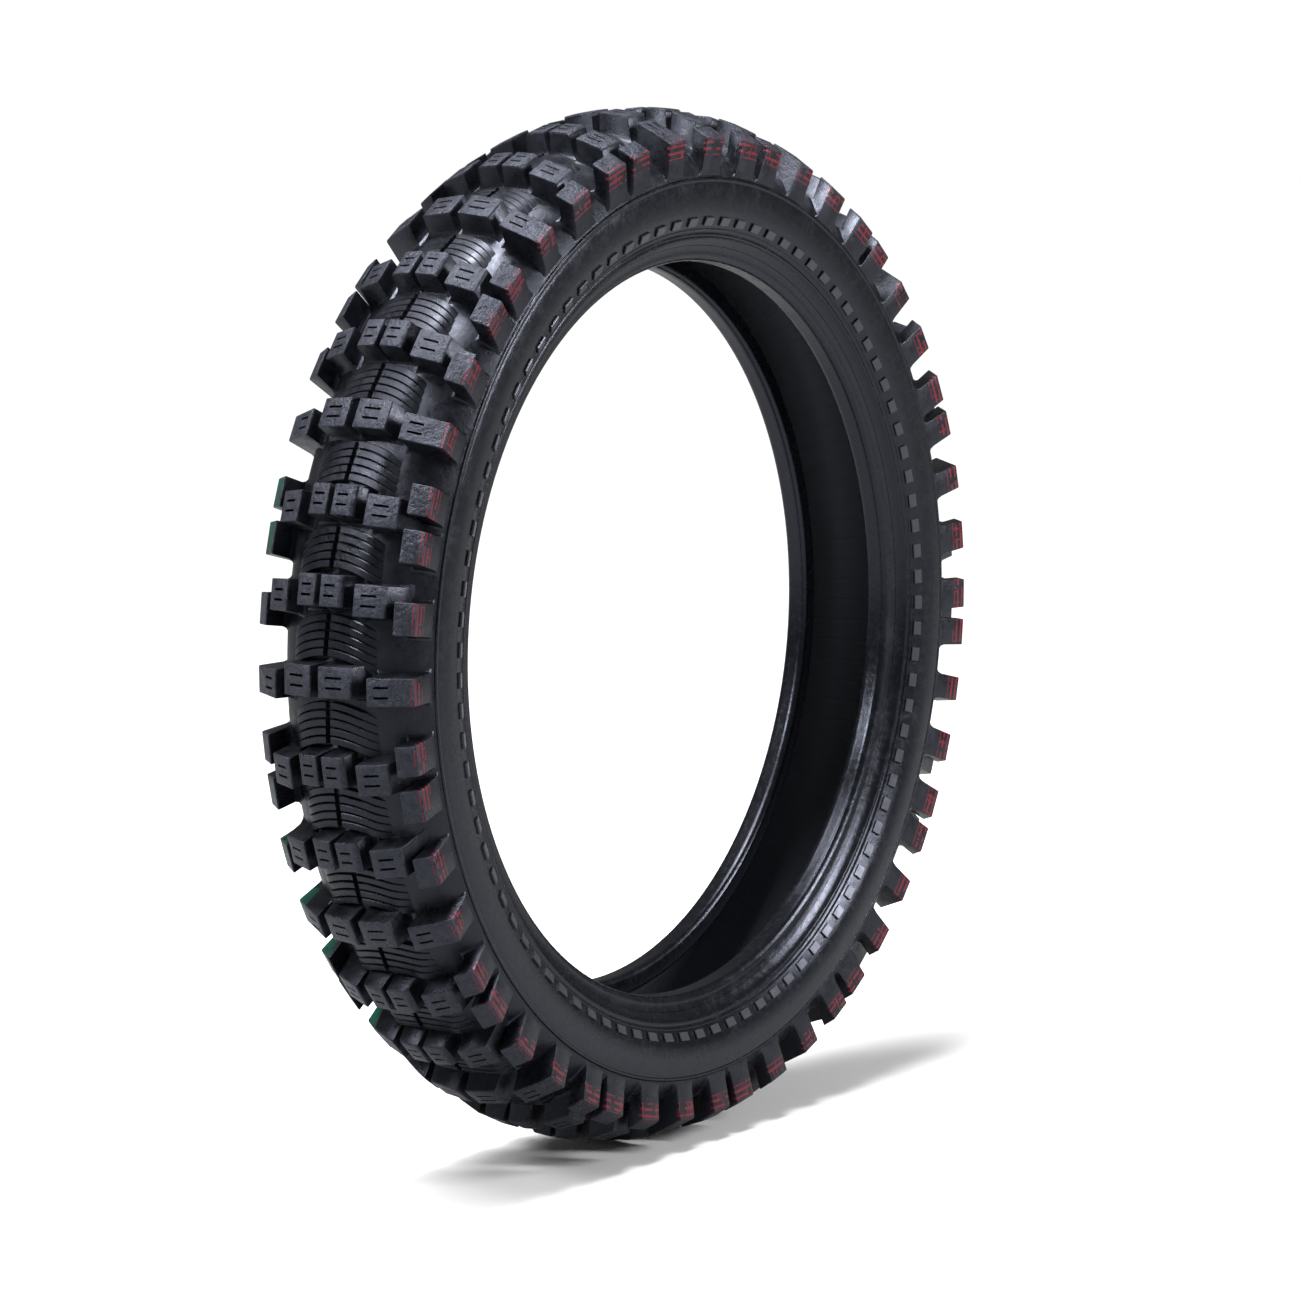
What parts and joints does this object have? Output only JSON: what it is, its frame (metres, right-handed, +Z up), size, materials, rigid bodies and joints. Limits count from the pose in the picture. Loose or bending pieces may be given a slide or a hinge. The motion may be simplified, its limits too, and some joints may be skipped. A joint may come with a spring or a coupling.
{
  "type": "motorcycle tire",
  "caption": "Off-road motorcycle rear tire with block knobs, layered casing and wire beads, without rim or tube.",
  "frame": {"origin": "centre of the bounding box, on the axle line in the tire's middle plane", "axes": "+Y along the axle line, towards the left sidewall; +Z up with the tire standing on its tread; +X completes the frame"},
  "size_m": [0.6755, 0.118, 0.6759],
  "materials": {
    "tread_rubber": "matte knobby tread rubber",
    "side_rubber": "satin sidewall rubber",
    "base_rubber": "matte inner rubber",
    "liner_rubber": "smooth inner liner rubber",
    "cord_fabric": "rubber-coated cord",
    "bead_wire": "bronze-coated steel wire"
  },
  "bodies": {
    "root": {"tread": "tread_rubber", "undertread": "base_rubber", "breaker_upper": "cord_fabric", "breaker_lower": "cord_fabric", "ply_outer": "cord_fabric", "ply_inner": "cord_fabric", "inner_liner": "liner_rubber", "sidewall_left": "side_rubber", "bead_core_left": "bead_wire", "bead_filler_left": "base_rubber", "bead_wrap_left": "cord_fabric", "chafer_left": "cord_fabric", "rim_strip_left": "side_rubber", "sidewall_right": "side_rubber", "bead_core_right": "bead_wire", "bead_filler_right": "base_rubber", "bead_wrap_right": "cord_fabric", "chafer_right": "cord_fabric", "rim_strip_right": "side_rubber"}
  },
  "joints": []
}
